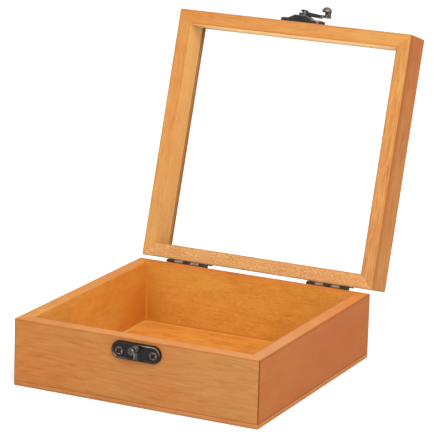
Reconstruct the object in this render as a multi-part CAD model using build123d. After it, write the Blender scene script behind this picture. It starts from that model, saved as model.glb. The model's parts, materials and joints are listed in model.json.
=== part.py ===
from build123d import *
from math import cos, radians, sin
import os

# ---------------------------------------------------------------- driving dimensions (mm, degrees)
# Wooden body and lid. The origin is the centre of the case's underside, front towards -Y.
CASE = 150.0                 # outside width and depth of body and lid
WALL = 8.5                   # thickness of every wall and rail
PANEL = 2.5                  # thickness of the bottom panel, glued flush under the walls
BODY_H = 38.5                # body height with the panel
SEAM = 0.2                   # gap between the body's rim and the closed lid
LID_H = 22.0                 # height of the lid's rails
ARRIS_R = 0.8                # rounding of the vertical corners
EDGE_R = 0.5                 # rounding of the rims
LINE_R = 0.3                 # eased edges along the panel's glue line

# Glass pane, held in a groove in the four rails.
GLASS_T = 2.0
GLASS_BELOW = 17.4           # lid underside to the pane
GLASS_HELD = 2.4             # how far the pane reaches into each rail
GROOVE_DEEP = 2.8            # depth of the groove

# Two butt hinges screwed to the back faces.
OPEN_ANGLE = 107.0           # the lid stands open at this angle
AXIS_OUT = 1.4               # hinge axis behind the back face
AXIS_Z = 38.6                # hinge axis height, in the middle of the seam
HINGE_X = {"left": -44.2, "right": 47.4}
SEGMENT = 5.2                # width of one knuckle
KNUCKLES = 5
KNUCKLE_R = 1.35
KNUCKLE_PLAY = 0.1           # side play of the lid leaf's knuckles
LEAF_T = 0.7
LEAF_REACH = 9.5             # hinge axis to the leaf's free edge
LEAF_START = 1.9             # hinge axis to the near edge of the leaf's plate
LEAF_CORNER_R = 1.2
PIN_R = 0.7
PIN_PLAY = 0.05              # radial play of the pin in the lid leaf
PIN_HEAD_R = 1.05
PIN_HEAD_T = 0.5
HINGE_SCREW_X = 8.2          # screw offset from the hinge's middle
HINGE_SCREW_OUT = 6.3        # screw distance from the hinge axis
STOP_PLAY = 0.05             # gap between the stop lug and the open lid leaf
STOP_REACH = (2.3, 4.1)      # where the lug carries the leaf, behind the axis
STOP_ROOT = (-2.0, -6.5)     # where the lug joins the box leaf, below the axis

# Swing-hook latch on the two front faces.
LATCH_X = 1.8                # the latch's centre line
LATCH_UP = 9.2               # pivot above the lid's underside
LATCH_SCREW_X = 10.4         # screw offset on both plates
CATCH_SCREW_DROP = 0.6       # the catch plate's screws sit this far below its centre line
PLATE_W = 10.0
LATCH_PLATE_L = 28.0
LATCH_END_T = 2.4            # thickness of the latch plate's ends
LATCH_TOP_T = 4.6            # height of its raised middle
RAMP_X = (3.7, 7.9)          # where the ramps start and end
POCKET_X = (2.9, 6.6)        # hollow under the raised middle
POCKET_W = 7.6
POCKET_H = 3.3
CATCH_Z = 31.6               # catch plate's centre height
CATCH_PLATE_L = 30.0
CATCH_T = 1.5
BEAD_W = 1.1                 # raised bead around the catch plate
BEAD_H = 0.5
RIDGE_W = 3.2                # raised band across the catch plate's middle
RIDGE_H = 0.6
BEAD_R = 0.22
POST_ARM = 14.3              # pivot to post with the lid closed
POST_TAIL_R = 1.2
COLLAR = (2.5, 1.7, 4.9)     # post collar: foot radius, top radius, top height
NECK_R = 0.9
HEAD_R = 1.9
HEAD_SPAN = (6.8, 8.3)       # post head: bottom and top heights
RIVET_R = 1.25
RIVET_PLAY = 0.05
RIVET_HEAD_R = 2.4
RIVET_HEAD_T = 0.85
RIVET_FOOT_R = 2.0
RIVET_FOOT_T = 0.9

# The hook, with u along the arm from the pivot and heights above the front face.
BOSS_SPAN = (4.75, 6.3)      # underside and top of the boss
HOOK_TOP = 7.25              # top of the rib that runs from the pivot along the arm
HOOK_AXIAL_PLAY = 0.15
ARM_LOW = 4.4                # underside of the arm
TIP_SPAN = (5.05, 6.3)       # underside and top of the thin tip
BOSS_R = 3.1
BELLY_U = (6.3, 7.2)         # the arm drops here, clear of the latch plate's raised middle
STEP_U = (11.0, 11.7)        # the underside rises here, to clear the post's collar
RIB_U = (0.5, 1.1)           # the rib rises here
TAPER_U = (2.6, 10.6)        # the slope on top of the arm
ARM_HALF_W = (2.7, 2.2)      # half width at the boss and at the tip
TIP = (13.9, 0.6, 3.2)       # tip disc: u, v, radius
LOBE = (13.8, 3.2, 1.9)      # lobe that carries the riser
SLOT_HALF = 1.05             # half width of the slot around the post's neck
SLOT_SWEEP = 32.0            # the slot follows this arc to its mouth
RISER = (13.8, 3.4, 1.9, 1.3)
RISER_TOP = 9.7
KNOB_U = 12.9
KNOB = ((0.0, 11.8), (2.2, 11.0), (3.1, 9.4), (2.75, 8.6), (1.6, 9.2), (0.0, 9.4))

# Oval-head screws: head radius, height of the dome, shank radius, length below the seat,
# depth of the countersink.
HINGE_SCREW = (1.6, 0.4, 0.75, 7.0, 0.5)
LATCH_SCREW = (2.4, 0.55, 0.9, 8.0, 1.1)
DRIVE_W = 0.3                # width of the cross recess's arms, as a part of the head radius
DRIVE_L = 1.35               # length of the arms, as a part of the head radius
DRIVE_DEEP = 0.3             # depth, as a part of the head radius

HALF = CASE / 2
INNER = CASE - 2 * WALL
LID_Z = BODY_H + SEAM
AXIS_Y = HALF + AXIS_OUT
HINGE_L = SEGMENT * KNUCKLES
CLEAR = 1.0                  # overshoot of cutting tools
LOW = (Align.CENTER, Align.CENTER, Align.MIN)
BOARDS = {"front": 0, "right": 90, "back": 180, "left": 270}


def opened(shape):
    """Turn a piece of the closed lid to where it stands open."""
    return shape.rotate(Axis((0, AXIS_Y, AXIS_Z), (1, 0, 0)), -OPEN_ANGLE)


def quadrant(angle, z_low, height):
    """Triangular prism from the centre over one side, bounded by the mitres."""
    side = Polygon((0, 0), (-CASE, -CASE), (CASE, -CASE), align=None)
    return extrude(Plane.XY.offset(z_low) * (Rot(0, 0, angle) * side), amount=height)


def board_ring(z_low, height):
    """Square ring of boards with eased edges, before the mitres."""
    block = Pos(0, 0, z_low) * Box(CASE, CASE, height, align=LOW)
    block = fillet(block.edges().filter_by(Axis.Z), ARRIS_R)
    ring = block - Pos(0, 0, z_low) * Box(INNER, INNER, height, align=LOW)
    return ring


def front_plane(z):
    """Frame on the front face: x to the right, y up, z outwards."""
    return Plane(origin=(LATCH_X, -HALF, z), x_dir=(1, 0, 0), z_dir=(0, -1, 0))


def back_plane(x, z):
    """Frame on the back face: z outwards."""
    return Plane(origin=(x, HALF, z), x_dir=(1, 0, 0), z_dir=(0, 1, 0))


def shank_hole(spec, seat):
    """The countersunk hole that a screw fills below its seat."""
    head_r, _, shank_r, length, sink = spec
    hole = Pos(0, 0, seat - length) * Cylinder(shank_r, length, align=LOW)
    return hole + Pos(0, 0, seat - sink) * Cone(shank_r, head_r, sink, align=LOW)


def screw(spec, seat):
    """Oval-head cross-recess screw whose head is sunk to this seat."""
    head_r, dome_h = spec[:2]
    dome = Pos(0, 0, seat) * Cylinder(head_r, dome_h, align=LOW)
    dome = fillet(dome.edges().group_by(Axis.Z)[-1], dome_h * 0.8)
    whole = dome + shank_hole(spec, seat)
    for angle in (45, 135):
        arm = Box(head_r * DRIVE_L, head_r * DRIVE_W, 2 * head_r * DRIVE_DEEP)
        whole -= Pos(0, 0, seat + dome_h) * (Rot(0, 0, angle) * arm)
    return whole


def leaf(name, up, segments, bore_r, play):
    """One hinge leaf: a plate along one side of the axis and its knuckles."""
    left_x = HINGE_X[name] - HINGE_L / 2
    inner, outer = -AXIS_OUT, LEAF_T - AXIS_OUT
    plate_h = LEAF_REACH - LEAF_START
    middle = (LEAF_REACH + LEAF_START) / 2
    plate = Box(HINGE_L, LEAF_T, plate_h)
    plate = Pos(HINGE_X[name], AXIS_Y + (inner + outer) / 2, AXIS_Z + up * middle) * plate
    corners = plate.edges().filter_by(Axis.Y).sort_by(Axis.Z)
    free = corners[-2:] if up > 0 else corners[:2]
    plate = fillet(free, LEAF_CORNER_R)
    for index in segments:
        start = left_x + index * SEGMENT + play
        section = Plane(origin=(start, AXIS_Y, AXIS_Z), x_dir=(0, 1, 0), z_dir=(1, 0, 0))
        tongue = Pos((inner + outer) / 2, up * LEAF_START / 2) * Rectangle(LEAF_T, LEAF_START + 0.2)
        plate += extrude(section * (tongue + Circle(KNUCKLE_R)), amount=SEGMENT - 2 * play)
    bore = Plane(origin=(left_x - CLEAR, AXIS_Y, AXIS_Z), x_dir=(0, 1, 0), z_dir=(1, 0, 0))
    plate -= extrude(bore * Circle(bore_r), amount=HINGE_L + 2 * CLEAR)
    return plate


def stop_lug(name):
    """Lug on the middle knuckle that the open lid leaf comes to rest on."""
    turn = radians(OPEN_ANGLE)
    rest = AXIS_OUT - LEAF_T - STOP_PLAY
    tops = [(y, (rest + y * cos(turn)) / sin(turn)) for y in STOP_REACH]
    foot_y = LEAF_T - AXIS_OUT
    outline = Polygon(
        (foot_y, STOP_ROOT[0]), (foot_y, STOP_ROOT[1]), tops[1], tops[0], align=None
    )
    start = HINGE_X[name] - SEGMENT / 2
    section = Plane(origin=(start, AXIS_Y, AXIS_Z), x_dir=(0, 1, 0), z_dir=(1, 0, 0))
    lug = extrude(section * outline, amount=SEGMENT)
    bore = Plane(origin=(start - CLEAR, AXIS_Y, AXIS_Z), x_dir=(0, 1, 0), z_dir=(1, 0, 0))
    return lug - extrude(bore * Circle(PIN_R), amount=SEGMENT + 2 * CLEAR)


def hinge_pin(name):
    """Pin with a small flat head at each end."""
    half = HINGE_L / 2
    pin = Cylinder(PIN_R, HINGE_L)
    for side in (-1, 1):
        pin += Pos(0, 0, side * (half + PIN_HEAD_T / 2)) * Cylinder(PIN_HEAD_R, PIN_HEAD_T)
    ends = pin.edges().filter_by(GeomType.CIRCLE).group_by(Axis.Z)
    pin = fillet(ends[0] + ends[-1], PIN_HEAD_T * 0.6)
    return Pos(HINGE_X[name], AXIS_Y, AXIS_Z) * (Rot(0, 90, 0) * pin)


def hinge_screw_planes(name, up):
    """Seats of one leaf's two screws, in the closed position."""
    z = AXIS_Z + up * HINGE_SCREW_OUT
    return {
        side: back_plane(HINGE_X[name] + sign * HINGE_SCREW_X, z)
        for side, sign in (("a", -1), ("b", 1))
    }


def stadium(length, width):
    """Oval outline with half-round ends."""
    ends = (length - width) / 2
    middle = Rectangle(2 * ends, width)
    return middle + Pos(-ends, 0) * Circle(width / 2) + Pos(ends, 0) * Circle(width / 2)


def catch_plate():
    """Oval plate with a raised bead and a band across its middle."""
    outline = stadium(CATCH_PLATE_L, PLATE_W)
    inside = stadium(CATCH_PLATE_L - 2 * BEAD_W, PLATE_W - 2 * BEAD_W)
    plate = extrude(outline, amount=CATCH_T + BEAD_H)
    recess = extrude(Plane.XY.offset(CATCH_T) * inside, amount=BEAD_H)
    plate -= recess
    plate = fillet(plate.edges().group_by(Axis.Z)[-1], BEAD_R)
    band = Pos(0, 0, CATCH_T) * Box(RIDGE_W, PLATE_W - 1.5 * BEAD_W, RIDGE_H, align=LOW)
    band = fillet(band.edges().group_by(Axis.Z)[-1].filter_by(Axis.Y), RIDGE_H * 0.8)
    plate += band
    plate -= Pos(0, post_rise(), 0) * Cylinder(POST_TAIL_R, 2 * PLATE_W)
    plate -= Pos(0, post_rise(), CATCH_T) * Cylinder(COLLAR[0], 2 * RIDGE_H, align=LOW)
    for x in (-LATCH_SCREW_X, LATCH_SCREW_X):
        plate -= Pos(x, -CATCH_SCREW_DROP, 0) * shank_hole(LATCH_SCREW, CATCH_T)
    return front_plane(CATCH_Z) * plate


def post_rise():
    """The post's height above the catch plate's centre."""
    return LID_Z + LATCH_UP - POST_ARM - CATCH_Z


def catch_post():
    """Riveted post with a tapered collar, a neck for the hook and a domed head."""
    foot_r, top_r, top_z = COLLAR
    low, high = HEAD_SPAN
    tail = Cylinder(POST_TAIL_R, CATCH_T, align=LOW)
    collar = Pos(0, 0, CATCH_T) * Cone(foot_r, top_r, top_z - CATCH_T, align=LOW)
    neck = Pos(0, 0, top_z) * Cylinder(NECK_R, low - top_z, align=LOW)
    head = Pos(0, 0, low) * Cylinder(HEAD_R, high - low, align=LOW)
    head = fillet(head.edges().group_by(Axis.Z)[-1], (high - low) * 0.6)
    return front_plane(CATCH_Z + post_rise()) * (tail + collar + neck + head)


def latch_plate():
    """Plate whose middle is raised on two ramps, hollow below the pivot."""
    ramp_top, ramp_foot = RAMP_X
    end = LATCH_PLATE_L / 2
    profile = Polygon(
        (-end, 0), (end, 0), (end, LATCH_END_T), (ramp_foot, LATCH_END_T),
        (ramp_top, LATCH_TOP_T), (-ramp_top, LATCH_TOP_T), (-ramp_foot, LATCH_END_T),
        (-end, LATCH_END_T), align=None,
    )
    side = Plane(origin=(0, 0, 0), x_dir=(1, 0, 0), z_dir=(0, -1, 0))
    strap = extrude(side * profile, amount=PLATE_W / 2, both=True)
    plate = strap & extrude(stadium(LATCH_PLATE_L, PLATE_W), amount=2 * LATCH_TOP_T)
    near, far = POCKET_X
    hollow = Polygon((-far, 0), (far, 0), (near, POCKET_H), (-near, POCKET_H), align=None)
    plate -= extrude(side * hollow, amount=POCKET_W / 2, both=True)
    plate -= Cylinder(RIVET_R, 4 * LATCH_TOP_T)
    for x in (-LATCH_SCREW_X, LATCH_SCREW_X):
        plate -= Pos(x, 0, 0) * shank_hole(LATCH_SCREW, LATCH_END_T)
    return front_plane(LID_Z + LATCH_UP) * plate


def latch_rivet():
    """The hook's pivot: foot under the plate, shank and domed head."""
    seat = HOOK_TOP + HOOK_AXIAL_PLAY
    foot = Pos(0, 0, POCKET_H - RIVET_FOOT_T) * Cylinder(RIVET_FOOT_R, RIVET_FOOT_T, align=LOW)
    shank = Pos(0, 0, POCKET_H) * Cylinder(RIVET_R, seat - POCKET_H, align=LOW)
    head = Pos(0, 0, seat) * Cylinder(RIVET_HEAD_R, RIVET_HEAD_T, align=LOW)
    head = fillet(head.edges().group_by(Axis.Z)[-1], RIVET_HEAD_T * 0.8)
    return front_plane(LID_Z + LATCH_UP) * (foot + shank + head)


def hook_plan():
    """The hook's outline with the slot that drops around the post's neck."""
    wide, slim = ARM_HALF_W
    tip_u, tip_v, tip_r = TIP
    arm = Polygon((0, -wide), (tip_u, tip_v - slim), (tip_u, tip_v + slim), (0, wide), align=None)
    plan = arm + Circle(BOSS_R) + Pos(tip_u, tip_v) * Circle(tip_r)
    plan += Pos(LOBE[0], LOBE[1]) * Circle(LOBE[2])
    ring = Circle(POST_ARM + SLOT_HALF) - Circle(POST_ARM - SLOT_HALF)
    reach = 2 * POST_ARM
    mouth = Polygon(
        (0, 0), (reach, 0), (reach * cos(radians(SLOT_SWEEP)), -reach * sin(radians(SLOT_SWEEP))),
        align=None,
    )
    plan -= (ring & mouth) + Pos(POST_ARM, 0) * Circle(SLOT_HALF)
    return plan - Circle(RIVET_R + RIVET_PLAY)


def latch_hook():
    """Swing hook: boss, ribbed arm, thin slotted tip, riser and curled knob."""
    boss_low, boss_top = BOSS_SPAN
    tip_low, tip_top = TIP_SPAN
    body = extrude(Plane.XY.offset(ARM_LOW) * hook_plan(), amount=HOOK_TOP - ARM_LOW)
    far = 2 * POST_ARM
    profile = Polygon(
        (-far, boss_low), (BELLY_U[0], boss_low), (BELLY_U[1], ARM_LOW), (STEP_U[0], ARM_LOW),
        (STEP_U[1], tip_low), (far, tip_low), (far, tip_top), (TAPER_U[1], tip_top),
        (TAPER_U[0], HOOK_TOP), (RIB_U[1], HOOK_TOP), (RIB_U[0], boss_top), (-far, boss_top),
        align=None,
    )
    side = Plane(origin=(0, 0, 0), x_dir=(1, 0, 0), z_dir=(0, -1, 0))
    body &= extrude(side * profile, amount=far, both=True)
    riser_u, riser_v, riser_a, riser_b = RISER
    riser_foot = (tip_low + tip_top) / 2
    riser = extrude(
        Plane.XY.offset(riser_foot) * (Pos(riser_u, riser_v) * Ellipse(riser_a, riser_b)),
        amount=RISER_TOP - riser_foot,
    )
    top, shoulder, rim, lip, under, centre = KNOB
    outline = [
        ThreePointArc(top, shoulder, rim), Line(rim, lip), ThreePointArc(lip, under, centre),
        Line(centre, top),
    ]
    section = Plane.XZ * make_face(outline)
    knob = Pos(KNOB_U, riser_v, 0) * revolve(section, Axis.Z)
    hook = body + riser + knob
    return front_plane(LID_Z + LATCH_UP) * hook


def build():
    """Every piece by name, with the lid standing open."""
    case = {}
    lid = {}

    body_ring = board_ring(PANEL, BODY_H - PANEL)
    body_ring = fillet(body_ring.edges().group_by(Axis.Z)[-1], EDGE_R)
    body_ring = fillet(body_ring.faces().sort_by(Axis.Z)[0].outer_wire().edges(), LINE_R)
    lid_ring = board_ring(LID_Z, LID_H)
    lid_ring = fillet(lid_ring.edges().group_by(Axis.Z)[-1], EDGE_R)
    lid_ring = fillet(lid_ring.edges().group_by(Axis.Z)[0], EDGE_R)
    groove_w = INNER + 2 * GROOVE_DEEP
    lid_ring -= Pos(0, 0, LID_Z + GLASS_BELOW) * Box(groove_w, groove_w, GLASS_T, align=LOW)
    for side, angle in BOARDS.items():
        case[side + "_wall"] = body_ring & quadrant(angle, 0, CASE)
        lid["lid_" + side + "_rail"] = lid_ring & quadrant(angle, 0, CASE)

    panel = Box(CASE, CASE, PANEL, align=LOW)
    panel = fillet(panel.edges().filter_by(Axis.Z), ARRIS_R)
    panel = fillet(panel.edges().group_by(Axis.Z)[-1], LINE_R)
    case["bottom_panel"] = fillet(panel.edges().group_by(Axis.Z)[0], EDGE_R)

    glass_w = INNER + 2 * GLASS_HELD
    lid["lid_glass"] = Pos(0, 0, LID_Z + GLASS_BELOW) * Box(glass_w, glass_w, GLASS_T, align=LOW)

    for name in HINGE_X:
        hinge = name + "_hinge"
        box_leaf = leaf(name, -1, (0, 2, 4), PIN_R, 0) + stop_lug(name)
        lid_leaf = leaf(name, 1, (1, 3), PIN_R + PIN_PLAY, KNUCKLE_PLAY)
        for key, plane in hinge_screw_planes(name, -1).items():
            box_leaf -= plane * shank_hole(HINGE_SCREW, LEAF_T)
            case["back_wall"] -= plane * shank_hole(HINGE_SCREW, LEAF_T)
            case[f"{hinge}_box_screw_{key}"] = plane * screw(HINGE_SCREW, LEAF_T)
        for key, plane in hinge_screw_planes(name, 1).items():
            lid_leaf -= plane * shank_hole(HINGE_SCREW, LEAF_T)
            lid["lid_back_rail"] -= plane * shank_hole(HINGE_SCREW, LEAF_T)
            lid[f"{hinge}_lid_screw_{key}"] = plane * screw(HINGE_SCREW, LEAF_T)
        case[hinge + "_box_leaf"] = box_leaf
        case[hinge + "_pin"] = hinge_pin(name)
        lid[hinge + "_lid_leaf"] = lid_leaf

    catch = front_plane(CATCH_Z)
    latch = front_plane(LID_Z + LATCH_UP)
    for key, x in (("a", -LATCH_SCREW_X), ("b", LATCH_SCREW_X)):
        spot = Pos(x, -CATCH_SCREW_DROP, 0)
        case["front_wall"] -= catch * (spot * shank_hole(LATCH_SCREW, CATCH_T))
        case["catch_screw_" + key] = catch * (spot * screw(LATCH_SCREW, CATCH_T))
        spot = Pos(x, 0, 0)
        lid["lid_front_rail"] -= latch * (spot * shank_hole(LATCH_SCREW, LATCH_END_T))
        lid["latch_screw_" + key] = latch * (spot * screw(LATCH_SCREW, LATCH_END_T))
    case["catch_plate"] = catch_plate()
    case["catch_post"] = catch_post()
    lid["latch_plate"] = latch_plate()
    lid["latch_rivet"] = latch_rivet()
    lid["latch_hook"] = latch_hook()

    pieces = dict(case)
    pieces.update({name: opened(shape) for name, shape in lid.items()})
    return pieces


os.makedirs("parts", exist_ok=True)
for node, shape in build().items():
    export_step(shape, f"parts/{node}.step")
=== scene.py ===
import json
import math

import bpy
from mathutils import Matrix, Vector, noise


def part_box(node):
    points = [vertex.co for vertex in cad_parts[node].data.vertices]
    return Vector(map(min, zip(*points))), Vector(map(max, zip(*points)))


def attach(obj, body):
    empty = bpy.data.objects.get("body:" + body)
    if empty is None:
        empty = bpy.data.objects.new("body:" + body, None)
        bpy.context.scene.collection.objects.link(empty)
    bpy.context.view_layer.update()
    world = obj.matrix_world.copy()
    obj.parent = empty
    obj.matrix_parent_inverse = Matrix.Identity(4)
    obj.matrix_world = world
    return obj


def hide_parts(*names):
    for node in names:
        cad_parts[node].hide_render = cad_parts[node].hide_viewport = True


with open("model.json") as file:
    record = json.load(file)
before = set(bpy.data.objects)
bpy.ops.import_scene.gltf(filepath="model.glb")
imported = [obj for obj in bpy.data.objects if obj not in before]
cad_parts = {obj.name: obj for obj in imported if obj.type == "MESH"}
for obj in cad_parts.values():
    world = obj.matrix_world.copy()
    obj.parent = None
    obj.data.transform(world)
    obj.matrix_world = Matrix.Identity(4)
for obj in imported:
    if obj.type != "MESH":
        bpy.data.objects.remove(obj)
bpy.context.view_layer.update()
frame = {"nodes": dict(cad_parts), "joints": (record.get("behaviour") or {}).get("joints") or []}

MM = 0.001

# ------------------------------------------------------------------ sizes (mm)
def cad(node):
    """Lowest and highest corner of a CAD node at rest, in mm."""
    low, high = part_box(node)
    return Vector(low) / MM, Vector(high) / MM


# Read from the CAD frame.
HINGE = next(j for j in frame["joints"] if j["name"] == "lid_hinge")
AXIS = Vector(HINGE["pos_m"]) / MM
OPEN = math.radians(HINGE["range_deg"][1])
panel_high = cad("bottom_panel")[1]
left_low, left_high = cad("left_wall")
HALF = panel_high.x                  # half the width of the case
WALL = left_high.x - left_low.x      # thickness of a board
PANEL = panel_high.z                 # thickness of the bottom panel
BODY_H = cad("front_wall")[1].z      # top of the walls
SEAM = 2 * (AXIS.z - BODY_H)         # gap between the walls and the closed lid
LID_Z = BODY_H + SEAM                # underside of the closed lid

# The CAD source's own figures, which no bounding box shows.
LID_H = 22.0
GLASS_BELOW = 17.4
GLASS_T = 2.0
GROOVE = 2.8
ARRIS_R = 0.8       # upright outer corners
EDGE_R = 0.5        # eased long edges
LINE_R = 0.3        # eased joint line between walls and panel
GROOVE_R = 0.12     # edges of the glass groove
LATCH_X = 1.8
LATCH_UP = 9.2
LATCH_SCREW_X = 10.4
LATCH_END_T = 2.4
CATCH_Z = 31.6
CATCH_DROP = 0.6
CATCH_L, CATCH_W, CATCH_T = 30.0, 10.0, 1.5
POST_Z = LID_Z + LATCH_UP - 14.3
LATCH_SCREW_R, LATCH_SCREW_DOME = 2.4, 0.55
HINGE_T = 0.7
HINGE_SCREW_X, HINGE_SCREW_OUT = 8.2, 6.3
HINGE_SCREW_R, HINGE_SCREW_DOME = 1.6, 0.4

# The lid's boards and fittings are laid out closed and turned to the rest pose, which is open.
CLOSED_TO_OPEN = (
    Matrix.Translation(AXIS) @ Matrix.Rotation(-OPEN, 4, "X") @ Matrix.Translation(-AXIS)
)
SIDES = {"front": 0, "right": 90, "back": 180, "left": 270}


# ------------------------------------------------------------------ node helpers
class Tree:
    """A material's node tree, built by short calls."""

    def __init__(self, name):
        self.mat = bpy.data.materials.new(name)
        self.mat.use_nodes = True
        self.t = self.mat.node_tree
        self.t.nodes.clear()
        self.out = self.t.nodes.new("ShaderNodeOutputMaterial")

    def node(self, kind, props=None, **inputs):
        n = self.t.nodes.new("ShaderNode" + kind)
        for k, v in (props or {}).items():
            setattr(n, k, v)
        for k, v in inputs.items():
            self.put(n.inputs[k.replace("_", " ")], v)
        return n

    def put(self, socket, value):
        if isinstance(value, bpy.types.NodeSocket):
            self.t.links.new(value, socket)
        else:
            socket.default_value = value

    def math(self, op, a, b=0.0, clamp=False):
        n = self.t.nodes.new("ShaderNodeMath")
        n.operation = op
        n.use_clamp = clamp
        self.put(n.inputs[0], a)
        self.put(n.inputs[1], b)
        return n.outputs[0]

    def vec(self, op, a, b=(0.0, 0.0, 0.0)):
        n = self.t.nodes.new("ShaderNodeVectorMath")
        n.operation = op
        self.put(n.inputs[0], a)
        self.put(n.inputs[1], b)
        return n.outputs[0]

    def noise(self, vector, scale=1.0, detail=2.0, rough=0.5):
        n = self.node("TexNoise", Vector=vector, Scale=scale, Detail=detail, Roughness=rough)
        return n.outputs["Fac"]

    def ramp(self, fac, stops):
        n = self.t.nodes.new("ShaderNodeValToRGB")
        elements = n.color_ramp.elements
        while len(elements) < len(stops):
            elements.new(0.5)
        for element, (position, colour) in zip(elements, stops):
            element.position = position
            element.color = (*colour, 1.0)
        self.put(n.inputs[0], fac)
        return n.outputs[0]

    def span(self, fac, low, high, to_low=0.0, to_high=1.0):
        """Maps low..high to to_low..to_high, held at both ends. low may be above high."""
        n = self.node("MapRange", {"clamp": True})
        self.put(n.inputs[0], fac)
        for i, v in enumerate((low, high, to_low, to_high)):
            self.put(n.inputs[i + 1], v)
        return n.outputs[0]

    def mix(self, fac, a, b, blend="MIX"):
        """Colour a, going to b as fac goes to 1."""
        n = self.t.nodes.new("ShaderNodeMix")
        n.data_type = "RGBA"
        n.blend_type = blend
        self.put(n.inputs[0], fac)
        self.put(n.inputs[6], a if isinstance(a, bpy.types.NodeSocket) else (*a, 1.0))
        self.put(n.inputs[7], b if isinstance(b, bpy.types.NodeSocket) else (*b, 1.0))
        return n.outputs[2]

    def surface(self, socket):
        self.t.links.new(socket, self.out.inputs["Surface"])
        return self.mat


# Colour factors on the wood's own tone.
PLAIN = (1.0, 1.0, 1.0)
GRAIN_DARK, GRAIN_LIGHT = (0.80, 0.70, 0.60), (1.13, 1.24, 1.42)
HUE_RED, HUE_YELLOW = (1.0, 0.90, 0.84), (1.0, 1.08, 1.10)
PORE_TONE = (0.50, 0.40, 0.35)
FLECK_TONE = (1.18, 1.35, 1.75)
# Darker eased edges: a stain, and painted shade that dims the light the rounded edges catch.
EDGE_STAIN_AND_SHADE = (0.80, 0.70, 0.62)
JOINT_TONE = (0.45, 0.25, 0.14)
# Painted shade in the inner corners, at the foot of the walls.
NOOK_SHADE = (0.84, 0.66, 0.48)
PORE_DEPTH = 0.28
BOARD_END = 62.0            # mm from a board's middle, where its end has its own tone
SKIRT = (64.0, 65.2)        # mm from the floor's middle, where its paler border starts and is full
SATIN = 0.05                # specular level of the oiled wood


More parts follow.
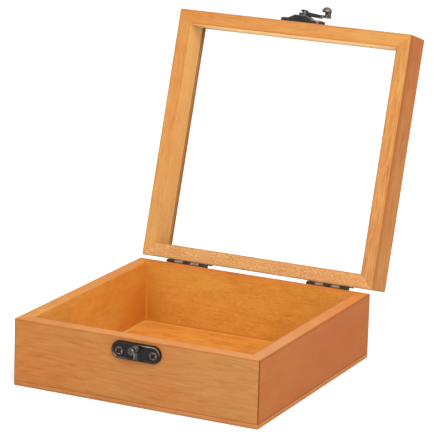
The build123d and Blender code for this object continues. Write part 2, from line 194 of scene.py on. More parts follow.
def wood(name, outer, rim, inner, seed, streak=1.0, mottle=1.0, speck=0.0, fleck=0.0, drift=0.0,
         edging=1.0, nook=None, strip=None, height_shade=None, outer_height_shade=None, skirt=False):
    """Honey-stained, satin wood with one tone for each face of the board.

    A tone is one colour, or a pair of colours for the board's two ends. The mesh carries
    'grain' (mm: along the board, depth, height), 'edge', 'seam', 'rim' and 'inner'.
    streak, mottle, speck and fleck are the strengths of the grain lines, clouds, fine grit and
    pale flecks; drift slides the hue along the board; edging is the strength of the darker
    edges, a stain and painted shade that dims the light the eased edges catch. nook (clear, full)
    paints shade on the foot of the inner face towards one end of the board, by its corner.
    strip (clear, full, tone) tints the inner face along the board; height_shade and
    outer_height_shade (clear, full, tone) paint shade on the inner and the outer face by height.
    skirt gives the floor its paler border."""
    t = Tree(name)
    kept = {
        label: t.node("Attribute", {"attribute_name": label}).outputs["Fac"]
        for label in ("edge", "seam", "rim", "inner")
    }
    grain = t.node("Attribute", {"attribute_name": "grain"}).outputs["Vector"]
    at = t.vec("ADD", grain, (seed * 131.7, seed * 47.3, seed * 29.1))
    sway = t.node("TexNoise", Vector=t.vec("MULTIPLY", at, (0.012, 0.02, 0.02)), Scale=1.0, Detail=1.0)
    sway = t.vec("SUBTRACT", sway.outputs["Color"], (0.5, 0.5, 0.5))
    at = t.vec("ADD", at, t.vec("MULTIPLY", sway, (0.0, 8.0, 8.0)))

    def pattern(along, across, detail, rough=0.5):
        """Noise with this many features per mm along and across the grain."""
        return t.noise(t.vec("MULTIPLY", at, (along, across, across)), detail=detail, rough=rough)

    fine = pattern(0.09, 1.25, 3.0, 0.6)
    line = pattern(0.06, 0.62, 2.0, 0.55)
    grit = pattern(0.55, 0.9, 1.0)
    cloud = pattern(0.06, 0.11, 4.0, 0.65)
    hue = pattern(0.018, 0.05, 2.0)
    pore = t.span(pattern(0.16, 2.6, 2.0, 0.6), 0.60, 0.76)
    total = 0.5
    for part, gain in ((fine, 1.4 * streak), (line, 0.60 * streak), (cloud, 0.75 * mottle), (grit, speck)):
        total = t.math("ADD", total, t.math("MULTIPLY", t.math("SUBTRACT", part, 0.5), gain))
    shade = t.ramp(t.math("ADD", total, 0.0, clamp=True), [(0.0, GRAIN_DARK), (0.5, PLAIN), (1.0, GRAIN_LIGHT)])
    across, deep, up = t.node("SeparateXYZ", Vector=grain).outputs
    slide = t.math("ADD", hue, t.math("MULTIPLY", across, drift))
    warm = t.ramp(slide, [(0.25, HUE_RED), (0.75, HUE_YELLOW)])
    shade = t.mix(1.0, shade, warm, "MULTIPLY")
    shade = t.mix(t.math("MULTIPLY", pore, PORE_DEPTH * streak), shade, PORE_TONE)
    if fleck:
        spot = pattern(1.0, 1.7, 1.0)
        shade = t.mix(t.math("MULTIPLY", t.span(spot, 0.52, 0.68), fleck), shade, FLECK_TONE)
        shade = t.mix(t.math("MULTIPLY", t.span(spot, 0.46, 0.32), fleck * 0.8), shade, GRAIN_DARK)
    # Patchy noise; with it the edges darken as stain and as painted shade, and the joint lines vary.
    rub = pattern(0.12, 0.3, 3.0)
    worn_and_painted_light = t.math("MULTIPLY", kept["edge"], t.span(rub, 0.35, 0.65, 0.75 * edging, 0.35 * edging), clamp=True)
    shade = t.mix(worn_and_painted_light, shade, EDGE_STAIN_AND_SHADE)
    joint = t.math("MULTIPLY", t.span(kept["seam"], 0.25, 0.7), t.span(rub, 0.3, 0.7, 0.75, 1.0))
    shade = t.mix(joint, shade, JOINT_TONE)
    # Painted shade at the foot of the inner face, stronger towards the corner at one end of the board.
    if nook:
        low = t.span(up, BODY_H - 8.0, PANEL + 3.0, 0.25, 1.0)
        end = t.math("MULTIPLY", t.math("MULTIPLY", t.span(across, *nook), low), kept["inner"])
        shade = t.mix(end, shade, NOOK_SHADE)
    # Painted shade by height on the inner face and, on some boards, on the outer face.
    tints = [(strip, across, kept["inner"]), (height_shade, up, kept["inner"])]
    if outer_height_shade:
        outside = t.math("SUBTRACT", 1.0, t.math("MAXIMUM", kept["inner"], kept["rim"]))
        tints.append((outer_height_shade, up, outside))
    for tint, place, face in tints:
        if tint:
            clear, full, tone = tint
            shade = t.mix(t.math("MULTIPLY", t.span(place, clear, full), face), shade, tone)
    if skirt:
        reach = t.math("MAXIMUM", t.math("ABSOLUTE", across), t.math("ABSOLUTE", deep))
        shade = t.mix(t.span(reach, *SKIRT), shade, GRAIN_LIGHT)

    def by_end(tone):
        return tone if len(tone) == 3 else t.mix(t.span(across, -BOARD_END, BOARD_END), *tone)

    tone = t.mix(kept["inner"], t.mix(kept["rim"], by_end(outer), by_end(rim)), by_end(inner))
    colour = t.mix(1.0, tone, shade, "MULTIPLY")
    height = t.math("ADD", t.math("MULTIPLY", fine, 0.5), t.math("MULTIPLY", pore, -0.6))
    bump = t.node("Bump", Strength=0.3, Distance=0.00005, Height=height)
    rough = t.math("ADD", t.span(fine, 0.3, 0.7, 0.48, 0.60), t.math("MULTIPLY", pore, 0.1))
    bsdf = t.node("BsdfPrincipled", Base_Color=colour, Roughness=rough, Normal=bump.outputs[0])
    bsdf.inputs["Specular IOR Level"].default_value = SATIN
    return t.surface(bsdf.outputs[0])


# Dark brown of the painted shade on the catch, its post and the screws; the brown is a painted reflection of
# the wood.
SHADE_BROWN = (0.034, 0.015, 0.006)
METALLIC = 0.92


def plated(name, body, worn_and_painted_light, tint, seed, rough=0.4, wear_and_light_strength=0.7, kept=False, reach=0.00035, patch=None):
    """Dark plated metal with brighter edges, scuffs and painted highlight, and a faint bloom of colour, tint.

    With kept=True the mesh carries 'rub' (brighter: scuffs and painted highlight) and
    'shade_and_dark_tone' (painted shade in dark brown, and darker spots); otherwise the brighter
    mark is on the edges, within reach (m) of them. patch (axis, clear, full, tone) gives one
    part of the piece another colour, by its place at rest (m)."""
    t = Tree(name)
    at = t.vec("ADD", t.node("TexCoord").outputs["Object"], (seed * 0.173, seed * 0.091, seed * 0.057))
    mottle = t.noise(at, scale=420.0, detail=3.0, rough=0.6)
    bloom = t.noise(at, scale=240.0, detail=1.0)
    pit = t.noise(at, scale=2600.0, detail=2.0, rough=0.6)
    colour = t.mix(t.span(mottle, 0.35, 0.65), body, tuple(c * 1.8 for c in body))
    colour = t.mix(t.span(bloom, 0.45, 0.65, 0.0, 0.75), colour, tint)
    if patch:
        axis, clear, full, tone = patch
        place = t.node("SeparateXYZ", Vector=t.node("TexCoord").outputs["Object"]).outputs[axis]
        amount = t.math("MULTIPLY", t.span(place, clear, full), t.span(mottle, 0.35, 0.6, 0.5, 0.95))
        colour = t.mix(amount, colour, tone)
    soft = t.node("Bevel", {"samples": 4}, Radius=reach).outputs[0]
    if kept:
        rub = t.node("Attribute", {"attribute_name": "rub"}).outputs["Fac"]
    else:
        dot = t.t.nodes.new("ShaderNodeVectorMath")
        dot.operation = "DOT_PRODUCT"
        t.put(dot.inputs[0], soft)
        t.put(dot.inputs[1], t.node("NewGeometry").outputs["Normal"])
        rub = t.span(dot.outputs["Value"], 0.995, 0.90)
    # Brighter mark: scuffs and painted highlight, patchy.
    rub = t.math("MULTIPLY", rub, t.span(mottle, 0.36, 0.60, 0.45, 1.0))
    colour = t.mix(t.math("MULTIPLY", rub, wear_and_light_strength), colour, worn_and_painted_light)
    shine = t.math("ADD", t.span(mottle, 0.3, 0.7, rough - 0.08, rough + 0.1), t.math("MULTIPLY", rub, -0.1))
    if kept:
        # Painted shade in recesses, under heads, on shaded sides and round outlines.
        shade_and_dark_tone = t.node("Attribute", {"attribute_name": "shade_and_dark_tone"}).outputs["Fac"]
        shade_and_dark_tone = t.math("MULTIPLY", shade_and_dark_tone, t.span(mottle, 0.3, 0.6, 0.75, 1.0))
        colour = t.mix(shade_and_dark_tone, colour, SHADE_BROWN)
        shine = t.math("ADD", shine, t.math("MULTIPLY", shade_and_dark_tone, 0.25))
    bump = t.node("Bump", Strength=0.35, Distance=0.00003, Height=pit, Normal=soft)
    bsdf = t.node("BsdfPrincipled", Base_Color=colour, Roughness=shine, Normal=bump.outputs[0])
    bsdf.inputs["Metallic"].default_value = METALLIC
    return t.surface(bsdf.outputs[0])


MIRROR_STRAIGHT, MIRROR_GRAZING = 0.035, 0.9    # share of light the pane mirrors


def pane(name):
    """Clear float glass with a trace of wiping marks."""
    t = Tree(name)
    at = t.node("TexCoord").outputs["Object"]
    wipe = t.noise(t.vec("MULTIPLY", at, (30.0, 9.0, 9.0)), detail=4.0, rough=0.6)
    clear = t.node("BsdfTransparent", Color=t.mix(wipe, (0.997, 0.999, 0.998), (0.99, 0.996, 0.993)))
    gloss = t.node("BsdfGlossy", Roughness=t.span(wipe, 0.3, 0.7, 0.01, 0.05))
    facing = t.node("LayerWeight", Blend=0.5).outputs["Facing"]
    mixed = t.node("MixShader")
    mirror = t.math("MULTIPLY", t.math("POWER", facing, 5.0), MIRROR_GRAZING)
    t.put(mixed.inputs[0], t.math("ADD", mirror, MIRROR_STRAIGHT))
    t.put(mixed.inputs[1], clear.outputs[0])
    t.put(mixed.inputs[2], gloss.outputs[0])
    return t.surface(mixed.outputs[0])


# ------------------------------------------------------------------ boards
SETBACK = 0.28      # where the eased mitre starts, before the board's end
MITRE_EASE = 0.06   # depth of the fine V at each mitre
WAVE = 0.025        # hand-sanded unevenness of the faces
NICK = 0.05         # depth of the small dents in the edges
SMALL_R = 0.2       # an edge rounded less than this needs no supporting points
STATIONS = 48       # steps along a board
ARC_STEPS = (0.0, 0.3, 0.6, 0.85, 1.0)


def rounded(corners, steps=3, support=0.9):
    """Closed section outline. corners: (t, z, radius). Gives (t, z, normal t, normal z, edge)."""
    out = []
    n = len(corners)
    for i, (t, z, r) in enumerate(corners):
        p = Vector((t, z))
        a = (Vector(corners[i - 1][:2]) - p).normalized()
        b = (Vector(corners[(i + 1) % n][:2]) - p).normalized()
        if r <= 0.0:
            out.append((t, z, 0.0, 0.0, 0.0))
            continue
        if r > SMALL_R:
            out.append((*(p + a * (r + support)), *(-b), 0.0))
        centre = p + (a + b) * r
        for k in range(steps + 1):
            f = math.radians(90.0 * k / steps)
            normal = -(b * math.cos(f) + a * math.sin(f))
            out.append((*(centre + normal * r), *normal, 1.0))
        if r > SMALL_R:
            out.append((*(p + b * (r + support)), *(-a), 0.0))
    return out


def make_piece(name, verts, faces, layers, matrix, materials, kinds=None, sharp=40.0):
    """Mesh object in metres from mm, with values kept on its points and a material per face."""
    mesh = bpy.data.meshes.new(name)
    mesh.from_pydata([matrix @ Vector(v) * MM for v in verts], [], faces)
    for label, values in layers.items():
        vector = isinstance(values[0], tuple)
        layer = mesh.attributes.new(label, "FLOAT_VECTOR" if vector else "FLOAT", "POINT")
        flat = [x for v in values for x in v] if vector else values
        layer.data.foreach_set("vector" if vector else "value", flat)
    for material in materials:
        mesh.materials.append(material)
    if kinds:
        mesh.polygons.foreach_set("material_index", kinds)
    mesh.shade_smooth()
    mesh.set_sharp_from_angle(angle=math.radians(sharp))
    obj = bpy.data.objects.new(name, mesh)
    bpy.context.scene.collection.objects.link(obj)
    return obj


def board(name, corners, turn, lifted, material, seed, arris_seam, rim_seam):
    """Mitred board of the given section, swept along one side and turned into place.

    arris_seam and rim_seam are the strengths of the dark mitre line at the outer corner and
    on the rim."""
    outline = rounded(corners)
    rim_side = -1.0 if lifted else 1.0
    stations = [("arc", -1, f) for f in reversed(ARC_STEPS)]
    stations += [("flat", -1.0 + 2.0 * k / STATIONS, 0.0) for k in range(STATIONS + 1)]
    stations += [("arc", 1, f) for f in ARC_STEPS]
    verts, co = [], []
    edge, seam, rim, inner = [], [], [], []
    for kind, where, f in stations:
        for t, z, nt, nz, e in outline:
            arris = line = 0.0
            if kind == "flat":
                calm = 1.0 - abs(where) ** 6
                x = where * (HALF - max(t, ARRIS_R) - SETBACK)
                wave = noise.noise(Vector((x * 0.045, seed * 7.1 + t * 0.05, z * 0.03)))
                nick = noise.noise(Vector((x * 0.35, seed * 3.3 + t, z)))
                sunk = calm * (WAVE * (wave + 1.0) + e * NICK * max(0.0, nick + 0.1))
                ti, zi = t - nt * sunk, z - nz * sunk
                y = -HALF + ti
            else:
                ease = 0.0 if nt > 0.5 else MITRE_EASE * f ** 3
                ti, zi = t - nt * ease, z - nz * ease
                if t < ARRIS_R:
                    a = math.radians(45.0) * f
                    x = where * (HALF - ARRIS_R + (ARRIS_R - ti) * math.sin(a))
                    y = -HALF + ARRIS_R - (ARRIS_R - ti) * math.cos(a)
                    arris = min(1.0, f / ARC_STEPS[1])
                    line = f * arris_seam
                else:
                    x = where * ((HALF - t - SETBACK) * (1.0 - f) + (HALF - ti) * f)
                    y = -HALF + ti
                    line = f * rim_seam if nz * rim_side > 0.3 else 0.0
            verts.append((x, y, zi))
            co.append((x, t, z))
            edge.append(max(e, arris))
            seam.append(line)
            rim.append(1.0 if nz * rim_side > 0.6 else 0.0)
            inner.append(1.0 if nt > 0.6 or nt == nz == 0.0 else 0.0)
    n = len(outline)
    faces = []
    for k in range(len(stations) - 1):
        for i in range(n):
            j = (i + 1) % n
            faces.append((k * n + i, (k + 1) * n + i, (k + 1) * n + j, k * n + j))
    faces.append(tuple(range(n)))
    faces.append(tuple(range(len(verts) - 1, len(verts) - n - 1, -1)))
    matrix = Matrix.Rotation(math.radians(turn), 4, "Z")
    if lifted:
        matrix = CLOSED_TO_OPEN @ matrix
    layers = {"grain": co, "edge": edge, "seam": seam, "rim": rim, "inner": inner}
    return make_piece(name, verts, faces, layers, matrix, [material])


def panel(name, floor_wood, edge_wood):
    """Thin square board with eased edges, grain along X. floor_wood is for its top alone."""
    flat = 1.6      # inset of the innermost loops
    corner = 5      # steps round each upright corner
    loops = [(flat, 0.0, 0.0)]
    for k in range(4):
        f = math.radians(30.0 * k)
        loops.append((EDGE_R - EDGE_R * math.sin(f), EDGE_R - EDGE_R * math.cos(f), 1.0))
    for k in range(4):
        f = math.radians(30.0 * k)
        loops.append((LINE_R - LINE_R * math.cos(f), PANEL - LINE_R + LINE_R * math.sin(f), 1.0))
    loops.append((flat, PANEL, 0.0))
    verts, co, edge = [], [], []
    for inset, z, e in loops:
        r = max(ARRIS_R - inset, 0.02)
        mid = HALF - inset - r
        for quarter in range(4):
            for k in range(corner + 1):
                a = math.radians(90.0 * (quarter + k / corner))
                cx = mid if quarter in (0, 3) else -mid
                cy = mid if quarter in (0, 1) else -mid
                verts.append((cx + r * math.cos(a), cy + r * math.sin(a), z))
                co.append((verts[-1][0], verts[-1][1], z))
                edge.append(e)
    n = 4 * (corner + 1)
    faces = [tuple(range(n - 1, -1, -1))]
    for k in range(len(loops) - 1):
        for i in range(n):
            j = (i + 1) % n
            faces.append((k * n + i, k * n + j, (k + 1) * n + j, (k + 1) * n + i))
    faces.append(tuple(range((len(loops) - 1) * n, len(loops) * n)))
    none = [0.0] * len(verts)
    layers = {"grain": co, "edge": edge, "seam": none, "rim": none, "inner": none}
    kinds = [1] * (len(faces) - 1) + [0]
    return make_piece(name, verts, faces, layers, Matrix.Identity(4), [floor_wood, edge_wood], kinds)


def wall_section():
    """Corners of a wall's section: depth from the outer face, height, radius."""
    foot = PANEL + 2.4      # an extra point, which keeps the shading by the floor crisp
    return [
        (0, PANEL, LINE_R), (0, BODY_H, EDGE_R), (WALL, BODY_H, EDGE_R), (WALL, foot, 0.0),
        (WALL, PANEL, 0.0),
    ]


def rail_section():
    """Corners of a lid rail's section, with the groove that holds the pane."""
    top = LID_Z + LID_H
    low = LID_Z + GLASS_BELOW
    high = low + GLASS_T
    return [
        (0, LID_Z, EDGE_R), (0, top, EDGE_R), (WALL, top, EDGE_R), (WALL, high, GROOVE_R),
        (WALL - GROOVE, high, 0.0), (WALL - GROOVE, low, 0.0), (WALL, low, GROOVE_R),
        (WALL, LID_Z, EDGE_R),
    ]


# ------------------------------------------------------------------ hardware
def front_frame(z, lifted=False):
    """Matrix of the front face's frame: x right, y up, z outwards."""
    place = Matrix.Translation((LATCH_X, -HALF, z)) @ Matrix.Rotation(math.radians(90), 4, "X")
    return CLOSED_TO_OPEN @ place if lifted else place


def back_frame(x, z, lifted=False):
    """Matrix of the back face's frame: z outwards."""
    place = Matrix.Translation((x, HALF, z)) @ Matrix.Rotation(math.radians(-90), 4, "X")
    return CLOSED_TO_OPEN @ place if lifted else place


class Skin:
    """Points, faces and the values of painted highlight, scuffs and painted shade of one piece, built ring by
    ring.
    """

    def __init__(self):
        self.verts, self.faces, self.rub, self.shade_and_dark_tone = [], [], [], []

    def ring(self, points, rub=0.0, shade_and_dark_tone=0.0):
        start = len(self.verts)
        for p in points:
            self.verts.append(p)
            self.rub.append(rub(p) if callable(rub) else rub)
            self.shade_and_dark_tone.append(shade_and_dark_tone(p) if callable(shade_and_dark_tone) else shade_and_dark_tone)
        return range(start, len(self.verts))

    def join(self, rings):
        """Faces between each ring and the next, and a cap at both ends."""
        for low, high in zip(rings, rings[1:]):
            n = len(low)
            for i in range(n):
                j = (i + 1) % n
                self.faces.append((low[i], low[j], high[j], high[i]))
        self.faces.append(tuple(reversed(rings[0])))
        self.faces.append(tuple(rings[-1]))

    def build(self, name, matrix, material):
        layers = {"rub": self.rub, "shade_and_dark_tone": self.shade_and_dark_tone}
        return make_piece(name, self.verts, self.faces, layers, matrix, [material], sharp=60.0)


def circle(cx, cy, r, z, n):
    return [
        (cx + r * math.cos(2 * math.pi * k / n), cy + r * math.sin(2 * math.pi * k / n), z)
        for k in range(n)
    ]


def oval(inset, z):
    """Ring of the catch plate's outline, moved inwards."""
    ends, r = (CATCH_L - CATCH_W) / 2, CATCH_W / 2 - inset
    arc, straight = 20, 12      # steps round an end and along a side
    points = []
    for side, start in ((1, -90.0), (-1, 90.0)):
        for k in range(arc + 1):
            a = math.radians(start + 180.0 * k / arc)
            points.append((side * ends + r * math.cos(a), r * math.sin(a), z))
        for k in range(1, straight):
            points.append((side * ends * (1.0 - 2.0 * k / straight), side * r, z))
    return points


def screw_head(name, matrix, x, y, seat, head_r, dome_h, material):
    """Oval screw head with a brighter rim (scuffs and painted highlight) and a deep, soft-edged cross recess in
    painted shade.
    """
    skin = Skin()
    arm_w, arm_l = head_r * 0.17, head_r * 0.74     # half width and reach of the cross
    points_round, steps = 72, 22

    def sunk(px, py):
        """How far a point is inside the cross, 0 to 1."""
        best = 0.0
        for a in (math.radians(45.0), math.radians(135.0)):
            u = abs(px * math.cos(a) + py * math.sin(a))
            v = abs(px * math.sin(a) - py * math.cos(a))
            over = max(v - arm_w, (u - arm_l) * 0.6)
            best = max(best, min(1.0, max(0.0, 1.0 - over / (head_r * 0.07))))
        return best

    # The head's side is in painted shade.
    rings = [skin.ring(circle(x, y, head_r, seat + z, points_round), 0.1, 1.0) for z in (-0.25, 0.0)]
    for k in range(steps, 0, -1):
        f = k / steps
        points = []
        for px, py, _ in circle(0.0, 0.0, head_r * f * 0.985, 0.0, points_round):
            top = dome_h * (1.0 - f ** 5)
            points.append((x + px, y + py, seat + top - sunk(px, py) * (top + 0.02)))
        # Brighter rim: scuffs and painted highlight; painted shade in the recess; the dome inside the rim is
        # darker.
        rim = min(1.0, max(0.0, (f - 0.55) / 0.18)) * min(1.0, max(0.0, (1.0 - f) / 0.06))
        rings.append(skin.ring(
            points,
            lambda p, rim=rim: rim * (1.0 - sunk(p[0] - x, p[1] - y)),
            lambda p, rim=rim: max(sunk(p[0] - x, p[1] - y), 0.55 * (1.0 - rim)),
        ))
    skin.join(rings)
    return skin.build(name, matrix, material)


def catch_plate_piece(name, matrix, material):
    """Oval plate with a rolled bead, a dished field and the band across its middle."""
    skin = Skin()
    # Rings from the rim inwards: inset, height, painted highlight on the bead, painted shade round the outline.
    bead = [
        (0.0, 0.0, 0.0, 1.0), (0.0, 1.2, 0.0, 1.0), (0.05, 1.55, 0.0, 1.0), (0.18, 1.82, 0.0, 0.95),
        (0.38, 1.97, 0.1, 0.8), (0.60, 1.98, 0.6, 0.3), (0.82, 1.86, 1.0, 0.0), (0.98, 1.62, 0.7, 0.1),
        (1.12, 1.50, 0.2, 0.7), (1.40, 1.49, 0.0, 0.4), (1.9, 1.47, 0.0, 0.1), (2.8, 1.46, 0.0, 0.0),
        (4.0, 1.46, 0.0, 0.0), (4.9, 1.46, 0.0, 0.0),
    ]

    def lit_part_of_bead(p):
        """Where the bead carries its painted highlight: strong at the upper right, faint at the lower left."""
        upper_right = max(0.0, 1.0 - abs(p[0] - 8.0) / 8.0) if p[1] > 0.0 else 0.0
        lower_left = 0.05 * max(0.0, 1.0 - abs(p[0] + 9.0) / 6.0) if p[1] < 0.0 else 0.0
        return 0.04 + 0.96 * min(1.0, 2.0 * max(upper_right, lower_left))

    rings = []
    for d, z, rub, shade_and_dark_tone in bead:
        rings.append(skin.ring(oval(d, z), lambda p, rub=rub: rub * lit_part_of_bead(p), shade_and_dark_tone))
    skin.join(rings)
    # The band's section from left to right: place, height, painted highlight, painted shade (its right side in
    # the post's painted shadow).
    band = [
        (-1.8, 1.3, 0.0, 1.0), (-1.6, 1.5, 0.0, 0.7), (-1.35, 1.9, 0.15, 0.1),
        (-0.95, 2.08, 0.3, 0.0), (0.0, 2.1, 0.05, 0.3), (0.95, 2.08, 0.1, 0.5),
        (1.35, 1.9, 0.0, 0.9), (1.6, 1.5, 0.0, 1.0), (1.8, 1.3, 0.0, 1.0),
    ]
    sunk_foot = band[0][1]
    ends = [(-4.35, 0.35), (-4.0, 0.05), (-2.0, 0.0), (0.0, 0.0), (2.0, 0.0), (4.0, 0.05), (4.35, 0.35)]
    rows = []
    for y, lower in ends:
        start = len(skin.verts)
        for x, z, rub, shade_and_dark_tone in band:
            skin.verts.append((x, y, max(sunk_foot, z - lower)))
            skin.rub.append(rub)
            skin.shade_and_dark_tone.append(shade_and_dark_tone)
        rows.append(range(start, len(skin.verts)))
    skin.join(rows)
    return skin.build(name, matrix, material)


def post_piece(name, matrix, y, material):
    """Riveted catch post: tapered collar, neck and domed head; painted shade under the collar and the head, a
    painted highlight on the crown.
    """
    skin = Skin()
    # Rings from the foot to the crown: radius, height, painted highlight, painted shade.
    profile = [
        (1.2, 0.1, 0.0, 1.0), (1.2, 1.3, 0.0, 1.0), (2.5, 1.5, 0.0, 0.9), (2.45, 1.8, 0.2, 0.3),
        (1.72, 4.75, 0.2, 0.0), (1.5, 4.9, 0.0, 0.6), (0.9, 5.0, 0.0, 1.0), (0.9, 6.7, 0.0, 1.0),
        (1.75, 6.8, 0.0, 0.8), (1.9, 6.95, 0.3, 0.1), (1.9, 7.4, 0.7, 0.0), (1.72, 7.85, 0.45, 0.0),
        (1.3, 8.15, 0.1, 0.0), (0.7, 8.28, 0.0, 0.0), (0.01, 8.3, 0.0, 0.0),
    ]
    skin.join([skin.ring(circle(0.0, y, r, z, 40), rub, shade_and_dark_tone) for r, z, rub, shade_and_dark_tone in profile])
    return skin.build(name, matrix, material)


# ------------------------------------------------------------------ materials
# Tones of three faces of the photo, used again for faces that it does not show.
FRONT, RIGHT, BACK = (0.316, 0.122, 0.031), (0.290, 0.086, 0.018), (0.499, 0.206, 0.033)
# Painted shade along the foot of the walls' inner faces, by the floor.
FOOT_SHADE = (PANEL + 2.2, PANEL + 0.5, (0.85, 0.80, 0.76))     # shaded line where the walls meet the floor
BY_GLASS = LID_Z + GLASS_BELOW
WOODS = {
    "front_wall": wood(
        "wood_front", ((0.320, 0.125, 0.033), (0.312, 0.124, 0.036)),
        ((0.435, 0.167, 0.046), (0.460, 0.178, 0.053)), BACK, 1, drift=0.0028, mottle=0.3),
    "right_wall": wood(
        "wood_right", RIGHT, ((0.435, 0.195, 0.069), (0.480, 0.158, 0.036)), BACK, 2,
        streak=0.45, mottle=0.8, speck=0.15, edging=2.2),
    "back_wall": wood(
        "wood_back", FRONT, (0.440, 0.141, 0.026), BACK, 3, streak=0.6, mottle=1.6, speck=0.7,
        # Painted shade in the inner corner at the left end, and along the foot by the floor.
        nook=(50.0, 64.0), strip=(65.0, 65.7, (0.98, 0.92, 0.88)), height_shade=FOOT_SHADE),
    "left_wall": wood(
        "wood_left", FRONT, ((0.462, 0.165, 0.035), (0.455, 0.200, 0.044)),
        ((0.540, 0.205, 0.028), (0.524, 0.226, 0.042)), 4, streak=0.6, mottle=1.2, speck=0.5,
        # Painted shade in the inner corner at the back end, and along the foot by the floor.
        nook=(-10.0, -60.0), height_shade=FOOT_SHADE),
    "lid_front_rail": wood(
        "wood_lid_front", FRONT, ((0.398, 0.158, 0.041), (0.410, 0.181, 0.051)),
        (0.85, 0.53, 0.19), 6, streak=0.8, mottle=1.3,
        # Painted shade on the inner face, deepening towards the glass.
        height_shade=(BY_GLASS - 5.4, BY_GLASS - 0.4, (0.78, 0.82, 0.95))),
    "lid_back_rail": wood(
        "wood_lid_back", FRONT, ((0.462, 0.232, 0.086), (0.458, 0.240, 0.082)), FRONT, 7,
        fleck=0.95, mottle=0.5),
    "lid_left_rail": wood(
        "wood_lid_left", FRONT, ((0.434, 0.222, 0.067), (0.391, 0.165, 0.044)),
        ((0.530, 0.245, 0.064), (0.525, 0.282, 0.082)), 8, streak=0.8, fleck=0.15, edging=0.45,
        # Painted shade on the inner face from the glass edge onwards.
        height_shade=(BY_GLASS - 0.5, BY_GLASS, (0.40, 0.25, 0.23))),
    "lid_right_rail": wood(
        "wood_lid_right", ((0.320, 0.103, 0.025), (0.342, 0.140, 0.032)),
        ((0.393, 0.175, 0.048), (0.393, 0.184, 0.062)), FRONT, 9, streak=1.6, mottle=1.5,
        # Painted shade on the outer face, next to the rim.
        outer_height_shade=(LID_Z + 7.0, LID_Z + 0.5, (0.80, 0.68, 0.58))),
}
FLOOR_WOOD = wood(
    "wood_floor", ((0.530, 0.203, 0.033), (0.495, 0.170, 0.026)), FRONT, FRONT, 5, streak=0.8,
    mottle=3.2, speck=0.35, skirt=True)
PANEL_EDGE = wood(
    "wood_panel_edge", ((0.330, 0.130, 0.037), (0.340, 0.142, 0.046)), FRONT, FRONT, 10, edging=0.3)

# Each metal: body colour, the colour of its scuffs and painted highlight, tint colour, then its seed.
HINGE_DARK, HINGE_TINT = (0.035, 0.022, 0.014), (0.05, 0.03, 0.02)
# The latch plate: brighter edges (scuffs and painted highlight), and a painted reflection of the wood in
# reddish brown on its right end.
PLATE = plated(
    "plate_metal", (0.024, 0.023, 0.023), (0.60, 0.56, 0.54), (0.036, 0.032, 0.036), 1,
    rough=0.32, wear_and_light_strength=1.0, reach=0.0008, patch=("X", 0.0075, 0.0125, (0.085, 0.040, 0.036)))
# The catch plate's near-white mark is its painted highlight.
KEPT_PLATE = plated(
    "catch_metal", (0.0105, 0.0105, 0.0105), (0.95, 0.92, 0.88), (0.019, 0.015, 0.025), 5,
    rough=0.32, wear_and_light_strength=1.0, kept=True)
POST = plated(
    "post_metal", (0.026, 0.031, 0.026), (0.40, 0.31, 0.29), (0.044, 0.034, 0.034), 6,
    rough=0.40, kept=True)
HINGE_METAL = plated("hinge_metal", HINGE_DARK, (0.30, 0.22, 0.14), HINGE_TINT, 2, rough=0.42)
HINGE_LIGHT = plated(
    "hinge_lid_metal", HINGE_DARK, (0.32, 0.24, 0.16), HINGE_TINT, 7, rough=0.38,
    patch=("Y", 0.0783, 0.0778, (0.30, 0.22, 0.16)))
SCREW = plated(
    "screw_metal", (0.034, 0.028, 0.020), (0.18, 0.155, 0.12), (0.045, 0.038, 0.026), 3,
    rough=0.36, wear_and_light_strength=0.95, kept=True)
# The hook: brighter edges (scuffs and painted highlight), and a knob painted lighter as a painted highlight.
HOOK = plated(
    "hook_metal", (0.026, 0.023, 0.022), (0.52, 0.46, 0.43), (0.050, 0.038, 0.036), 4,
    rough=0.30, wear_and_light_strength=0.9, reach=0.0005, patch=("Z", 0.1880, 0.1890, (0.21, 0.155, 0.135)))
RIVET = plated(
    "rivet_metal", (0.020, 0.018, 0.018), (0.16, 0.14, 0.13), (0.030, 0.026, 0.026), 8,
    rough=0.40, wear_and_light_strength=0.4)
GLASS = pane("clear_glass")


# ------------------------------------------------------------------ pieces
FRONT_ARRIS_SEAM, ARRIS_SEAM, LID_ARRIS_SEAM = 2.0, 0.8, 0.45
RIM_SEAM = 0.3


def stand_for(piece, node, body):
    """Put the piece on its body in place of the CAD node."""
    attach(piece, body)
    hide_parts(node)


for index, (side, turn) in enumerate(SIDES.items()):
    node = side + "_wall"
    seam = FRONT_ARRIS_SEAM if side == "front" else ARRIS_SEAM
    piece = board("board_" + node, wall_section(), turn, False, WOODS[node], index + 1, seam, RIM_SEAM)
    stand_for(piece, node, "case")
    node = "lid_" + side + "_rail"
    piece = board("board_" + node, rail_section(), turn, True, WOODS[node], index + 11,
                  LID_ARRIS_SEAM, RIM_SEAM)
    stand_for(piece, node, "lid")
stand_for(panel("board_bottom_panel", FLOOR_WOOD, PANEL_EDGE), "bottom_panel", "case")

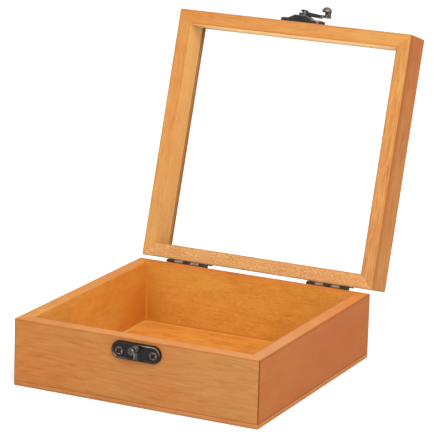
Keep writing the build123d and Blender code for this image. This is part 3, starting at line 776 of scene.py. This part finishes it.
CATCH = front_frame(CATCH_Z)
LATCH = front_frame(LID_Z + LATCH_UP, True)
stand_for(catch_plate_piece("plate_catch", CATCH, KEPT_PLATE), "catch_plate", "case")
stand_for(post_piece("post_catch", CATCH, POST_Z - CATCH_Z, POST), "catch_post", "case")
for key, x in (("a", -LATCH_SCREW_X), ("b", LATCH_SCREW_X)):
    piece = screw_head("head_catch_" + key, CATCH, x, -CATCH_DROP, CATCH_T, LATCH_SCREW_R,
                       LATCH_SCREW_DOME, SCREW)
    stand_for(piece, "catch_screw_" + key, "case")
    piece = screw_head("head_latch_" + key, LATCH, x, 0.0, LATCH_END_T, LATCH_SCREW_R,
                       LATCH_SCREW_DOME, SCREW)
    stand_for(piece, "latch_screw_" + key, "lid")
for side in ("left", "right"):
    low, high = cad(side + "_hinge_box_leaf")
    middle = (low.x + high.x) / 2
    for key, x in (("a", -HINGE_SCREW_X), ("b", HINGE_SCREW_X)):
        for half, body, up in (("box", "case", -1), ("lid", "lid", 1)):
            matrix = back_frame(middle, AXIS.z + up * HINGE_SCREW_OUT, half == "lid")
            piece = screw_head(f"head_{side}_{half}_{key}", matrix, x, 0.0, HINGE_T, HINGE_SCREW_R,
                               HINGE_SCREW_DOME, SCREW)
            stand_for(piece, f"{side}_hinge_{half}_screw_{key}", body)

# CAD nodes that keep their own shape.
KEEPS_SHAPE = {
    "lid_glass": GLASS, "latch_plate": PLATE, "latch_hook": HOOK, "latch_rivet": RIVET,
    "left_hinge_box_leaf": HINGE_METAL, "right_hinge_box_leaf": HINGE_METAL,
    "left_hinge_lid_leaf": HINGE_LIGHT, "right_hinge_lid_leaf": HINGE_LIGHT,
    "left_hinge_pin": HINGE_METAL, "right_hinge_pin": HINGE_METAL,
}
for node, material in KEEPS_SHAPE.items():
    for slot in frame["nodes"][node].material_slots:
        slot.material = material


# ------------------------------------------------------------------ stage, light and camera
def stage_floor():
    """A plain pale floor, wide enough to fill the view and just under the case."""
    size, level = 12.0, -0.0002
    mesh = bpy.data.meshes.new("floor")
    corners = [(-size, -size), (size, -size), (size, size), (-size, size)]
    mesh.from_pydata([(x, y, level) for x, y in corners], [], [(0, 1, 2, 3)])
    t = Tree("floor_paper")
    at = t.node("TexCoord").outputs["Object"]
    grey = t.span(t.noise(at, scale=900.0, detail=2.0), 0.3, 0.7, 0.93, 0.95)
    colour = t.node("CombineColor", Red=grey, Green=grey, Blue=grey).outputs[0]
    bsdf = t.node("BsdfPrincipled", Base_Color=colour)
    bsdf.inputs["Roughness"].default_value = 0.9
    bsdf.inputs["Specular IOR Level"].default_value = 0.1
    mesh.materials.append(t.surface(bsdf.outputs[0]))
    obj = bpy.data.objects.new("floor", mesh)
    bpy.context.scene.collection.objects.link(obj)


def soft_light(name, place, aim, size, power):
    data = bpy.data.lights.new(name, "AREA")
    data.shape = "SQUARE"
    data.size = size
    data.energy = power
    obj = bpy.data.objects.new(name, data)
    obj.location = place
    obj.rotation_euler = (Vector(aim) - Vector(place)).to_track_quat("-Z", "Y").to_euler()
    bpy.context.scene.collection.objects.link(obj)


def photo_camera():
    """The camera of the reference view: low, from the front right, with a long lens."""
    azimuth, elevation, roll = (math.radians(a) for a in (25.63, 14.39, 1.68))
    distance = 1.488
    aim = Vector((0.00917, 0.0044, 0.0905))
    back = Vector((
        math.sin(azimuth) * math.cos(elevation),
        -math.cos(azimuth) * math.cos(elevation),
        math.sin(elevation),
    ))
    right = Vector((math.cos(azimuth), math.sin(azimuth), 0.0))
    up = back.cross(right)
    x_axis = right * math.cos(roll) + up * math.sin(roll)
    y_axis = up * math.cos(roll) - right * math.sin(roll)
    data = bpy.data.cameras.new("camera")
    data.sensor_width = 36.0
    data.lens = 220.45
    data.clip_start = 0.05
    data.clip_end = 50.0
    obj = bpy.data.objects.new("camera", data)
    turn = Matrix((x_axis, y_axis, back)).transposed()
    obj.matrix_world = Matrix.Translation(aim + back * distance) @ turn.to_4x4()
    bpy.context.scene.collection.objects.link(obj)
    bpy.context.scene.camera = obj


stage_floor()
world = bpy.data.worlds.new("studio")
world.use_nodes = True
world.node_tree.nodes["Background"].inputs["Color"].default_value = (1.0, 1.0, 1.0, 1.0)
world.node_tree.nodes["Background"].inputs["Strength"].default_value = 1.05
bpy.context.scene.world = world
soft_light("key", (0.75, -0.95, 1.15), (0.0, 0.0, 0.08), 1.0, 30.0)
photo_camera()
bpy.context.scene.view_settings.view_transform = "Standard"
